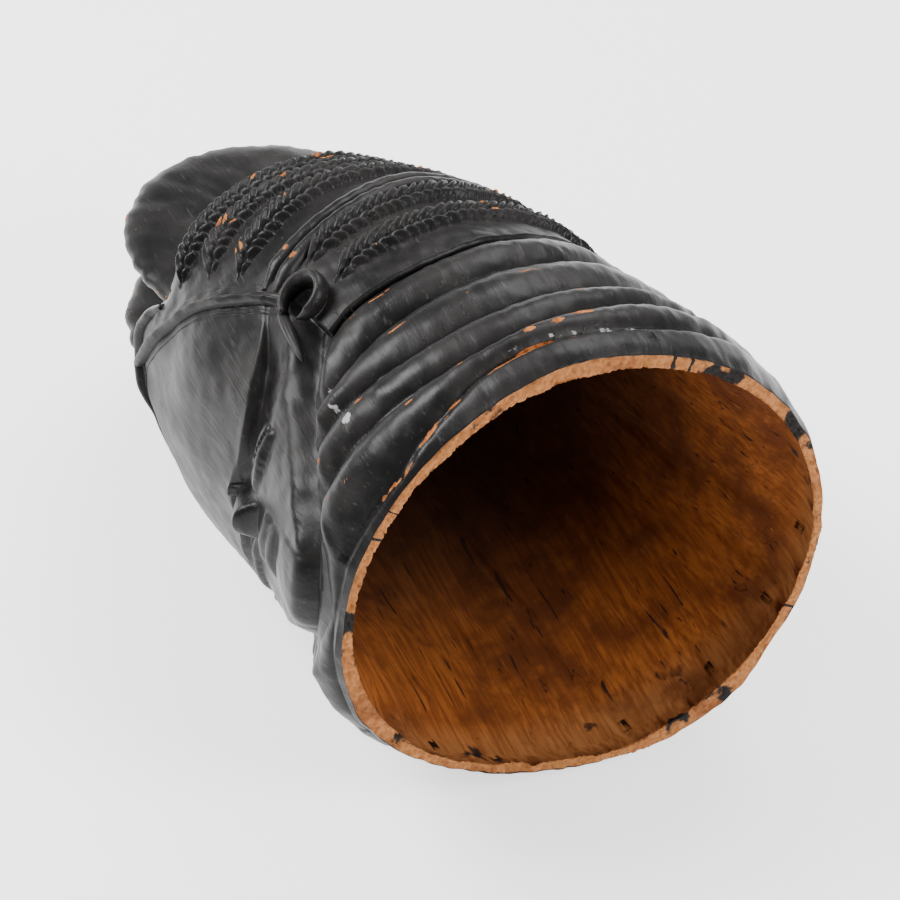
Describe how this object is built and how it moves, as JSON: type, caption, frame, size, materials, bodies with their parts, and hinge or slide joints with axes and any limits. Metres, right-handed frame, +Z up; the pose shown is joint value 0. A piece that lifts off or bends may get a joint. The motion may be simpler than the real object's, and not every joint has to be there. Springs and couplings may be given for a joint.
{
  "type": "carved wooden helmet mask",
  "caption": "Carved wooden helmet mask with a high forehead, ringed neck, braided hair and a two-plate crest, hollow from the rim up, lying on its side.",
  "frame": {"origin": "middle of the bounding box on the surface the mask lies on", "axes": "+Y towards the crown and crest, -X the way the face looks, +Z up, towards the mask's left side"},
  "size_m": [0.284, 0.422, 0.2605],
  "materials": {
    "blackened_wood": "black dye and oil, worn to orange wood on edges, rim and inside"
  },
  "bodies": {
    "root": {"helmet_mask": "blackened_wood"}
  },
  "joints": []
}
